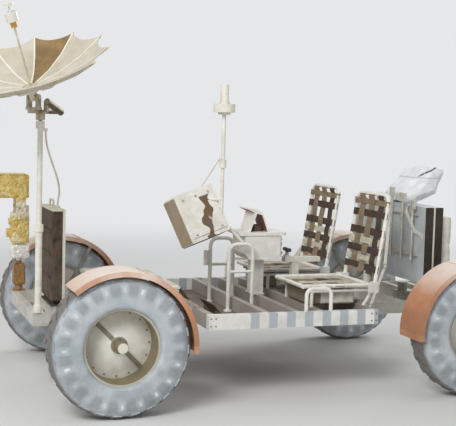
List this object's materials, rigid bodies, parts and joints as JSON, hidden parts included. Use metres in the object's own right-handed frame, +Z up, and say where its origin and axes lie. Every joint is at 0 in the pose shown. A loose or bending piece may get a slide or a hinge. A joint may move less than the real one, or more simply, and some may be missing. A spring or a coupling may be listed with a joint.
{
  "type": "planetary rover",
  "caption": "Open planetary rover with woven wheels under fenders, webbed seats, an umbrella antenna, a camera head, a console and an aft pallet.",
  "frame": {"origin": "on the ground, under the middle of the wheelbase and of the track", "axes": "+X forward, +Y to the left, +Z up"},
  "size_m": [3.6437, 2.081, 2.3133],
  "materials": {
    "frame_metal": "satin",
    "white_paint": "satin",
    "wire_mesh": "woven wire",
    "spun_metal": "satin",
    "drive_metal": "satin",
    "fender_shell": "matt",
    "steel": "brushed",
    "box_cover": "quilted",
    "radio_shell": "satin",
    "foil": "crinkled foil",
    "dish_metal": "fine mesh",
    "webbing": "woven",
    "bag_cloth": "woven",
    "lead_cover": "braided",
    "panel_grey": "satin"
  },
  "bodies": {
    "chassis": {"centre_frame": "white_paint", "floor_panels": "frame_metal", "forward_frame": "frame_metal", "aft_frame": "frame_metal", "uprights": "drive_metal", "suspension_arms": "frame_metal", "dampers": "steel", "steering_motors": "drive_metal", "deck_boxes": "box_cover", "lcru": "radio_shell", "tv_staff": "frame_metal", "hga_mast": "frame_metal", "lga_staff": "frame_metal", "console": "white_paint", "handholds": "frame_metal", "map_case": "bag_cloth", "seat_frames": "frame_metal", "back_webs": "webbing", "belts": "webbing", "seat_bags": "bag_cloth", "hand_controller": "white_paint", "pallet_posts": "frame_metal", "antenna_lead": "lead_cover"},
    "tv_pan_head": {"tv_head": "foil"},
    "tv_camera_box": {"tv_camera": "foil"},
    "hga_turret": {"hga_gimbal": "white_paint"},
    "hga_dish": {"dish_frame": "frame_metal", "dish_mesh": "dish_metal"},
    "lga_mast": {"lga_antenna": "white_paint"},
    "seat_left": {"seat_pan_left": "frame_metal", "seat_web_left": "webbing"},
    "seat_right": {"seat_pan_right": "frame_metal", "seat_web_right": "webbing"},
    "pallet": {"pallet_gate": "panel_grey", "hand_tools": "steel", "sample_bags": "bag_cloth", "rear_cover": "bag_cloth"},
    "knuckle_front_left_body": {"knuckle_front_left": "drive_metal", "fender_front_left": "fender_shell"},
    "wheel_front_left": {"tyre_front_left": "wire_mesh", "hub_front_left": "spun_metal"},
    "knuckle_front_right_body": {"knuckle_front_right": "drive_metal", "fender_front_right": "fender_shell"},
    "wheel_front_right": {"tyre_front_right": "wire_mesh", "hub_front_right": "spun_metal"},
    "sector_front_body": {"sector_front": "steel"},
    "tie_rod_front_left_body": {"tie_rod_front_left": "steel"},
    "tie_rod_front_right_body": {"tie_rod_front_right": "steel"},
    "knuckle_rear_left_body": {"knuckle_rear_left": "drive_metal", "fender_rear_left": "fender_shell"},
    "wheel_rear_left": {"tyre_rear_left": "wire_mesh", "hub_rear_left": "spun_metal"},
    "knuckle_rear_right_body": {"knuckle_rear_right": "drive_metal", "fender_rear_right": "fender_shell"},
    "wheel_rear_right": {"tyre_rear_right": "wire_mesh", "hub_rear_right": "spun_metal"},
    "sector_rear_body": {"sector_rear": "steel"},
    "tie_rod_rear_left_body": {"tie_rod_rear_left": "steel"},
    "tie_rod_rear_right_body": {"tie_rod_rear_right": "steel"}
  },
  "joints": [
    {"name": "steer_front_left", "type": "hinge", "parent": "chassis", "child": "knuckle_front_left_body", "pos_m": [1.143, 0.69, 0.409], "axis": [0, 0, 1], "range_deg": [-33, 33]},
    {"name": "spin_front_left", "type": "hinge", "parent": "knuckle_front_left_body", "child": "wheel_front_left", "pos_m": [1.143, 0.9145, 0.409], "axis": [0, 1, 0], "continuous": true},
    {"name": "steer_front_right", "type": "hinge", "parent": "chassis", "child": "knuckle_front_right_body", "pos_m": [1.143, -0.69, 0.409], "axis": [0, 0, 1], "range_deg": [-33, 33]},
    {"name": "spin_front_right", "type": "hinge", "parent": "knuckle_front_right_body", "child": "wheel_front_right", "pos_m": [1.143, -0.9145, 0.409], "axis": [0, 1, 0], "continuous": true},
    {"name": "sector_front_turn", "type": "hinge", "parent": "chassis", "child": "sector_front_body", "pos_m": [1.143, 0, 0.409], "axis": [0, 0, 1], "range_deg": [-33, 33]},
    {"name": "tie_rod_front_left_swing", "type": "hinge", "parent": "sector_front_body", "child": "tie_rod_front_left_body", "pos_m": [1.033, 0, 0.409], "axis": [0, 0, 1], "range_deg": [-33, 33]},
    {"name": "tie_rod_front_right_swing", "type": "hinge", "parent": "sector_front_body", "child": "tie_rod_front_right_body", "pos_m": [1.033, 0, 0.409], "axis": [0, 0, 1], "range_deg": [-33, 33]},
    {"name": "steer_rear_left", "type": "hinge", "parent": "chassis", "child": "knuckle_rear_left_body", "pos_m": [-1.143, 0.69, 0.409], "axis": [0, 0, 1], "range_deg": [-33, 33]},
    {"name": "spin_rear_left", "type": "hinge", "parent": "knuckle_rear_left_body", "child": "wheel_rear_left", "pos_m": [-1.143, 0.9145, 0.409], "axis": [0, 1, 0], "continuous": true},
    {"name": "steer_rear_right", "type": "hinge", "parent": "chassis", "child": "knuckle_rear_right_body", "pos_m": [-1.143, -0.69, 0.409], "axis": [0, 0, 1], "range_deg": [-33, 33]},
    {"name": "spin_rear_right", "type": "hinge", "parent": "knuckle_rear_right_body", "child": "wheel_rear_right", "pos_m": [-1.143, -0.9145, 0.409], "axis": [0, 1, 0], "continuous": true},
    {"name": "sector_rear_turn", "type": "hinge", "parent": "chassis", "child": "sector_rear_body", "pos_m": [-1.143, 0, 0.409], "axis": [0, 0, 1], "range_deg": [-33, 33]},
    {"name": "tie_rod_rear_left_swing", "type": "hinge", "parent": "sector_rear_body", "child": "tie_rod_rear_left_body", "pos_m": [-1.033, 0, 0.409], "axis": [0, 0, 1], "range_deg": [-33, 33]},
    {"name": "tie_rod_rear_right_swing", "type": "hinge", "parent": "sector_rear_body", "child": "tie_rod_rear_right_body", "pos_m": [-1.033, 0, 0.409], "axis": [0, 0, 1], "range_deg": [-33, 33]},
    {"name": "tv_pan", "type": "hinge", "parent": "chassis", "child": "tv_pan_head", "pos_m": [1.5, -0.42, 0.85], "axis": [0, 0, 1], "range_deg": [-214, 134]},
    {"name": "tv_tilt", "type": "hinge", "parent": "tv_pan_head", "child": "tv_camera_box", "pos_m": [1.5, -0.42, 1.216], "axis": [0, 1, 0], "range_deg": [-85, 45]},
    {"name": "hga_turn", "type": "hinge", "parent": "chassis", "child": "hga_turret", "pos_m": [1.515, 0.42, 1.68], "axis": [0, 0, 1], "range_deg": [-180, 180]},
    {"name": "hga_tilt", "type": "hinge", "parent": "hga_turret", "child": "hga_dish", "pos_m": [1.56165, 0.46084, 1.784], "axis": [-0.6587, 0.7524, 0], "range_deg": [-34, 65]},
    {"name": "lga_turn", "type": "hinge", "parent": "chassis", "child": "lga_mast", "pos_m": [0.3, 0.19, 1.44], "axis": [0, 0, 1], "range_deg": [-180, 180]},
    {"name": "seat_left_tip", "type": "hinge", "parent": "chassis", "child": "seat_left", "pos_m": [-0.576, 0.375, 0.66], "axis": [0, -1, 0], "range_deg": [0, 75]},
    {"name": "seat_right_tip", "type": "hinge", "parent": "chassis", "child": "seat_right", "pos_m": [-0.576, -0.375, 0.66], "axis": [0, -1, 0], "range_deg": [0, 75]},
    {"name": "pallet_swing", "type": "hinge", "parent": "chassis", "child": "pallet", "pos_m": [-1.065, -0.42, 0.64], "axis": [0, 0, 1], "range_deg": [0, 95]}
  ],
  "couplings": [
    {"joint": "steer_front_right", "follows": "steer_front_left", "ratio": 1},
    {"joint": "sector_front_turn", "follows": "steer_front_left", "ratio": 1},
    {"joint": "tie_rod_front_left_swing", "follows": "steer_front_left", "ratio": -1},
    {"joint": "tie_rod_front_right_swing", "follows": "steer_front_left", "ratio": -1},
    {"joint": "steer_rear_right", "follows": "steer_rear_left", "ratio": 1},
    {"joint": "sector_rear_turn", "follows": "steer_rear_left", "ratio": 1},
    {"joint": "tie_rod_rear_left_swing", "follows": "steer_rear_left", "ratio": -1},
    {"joint": "tie_rod_rear_right_swing", "follows": "steer_rear_left", "ratio": -1}
  ]
}
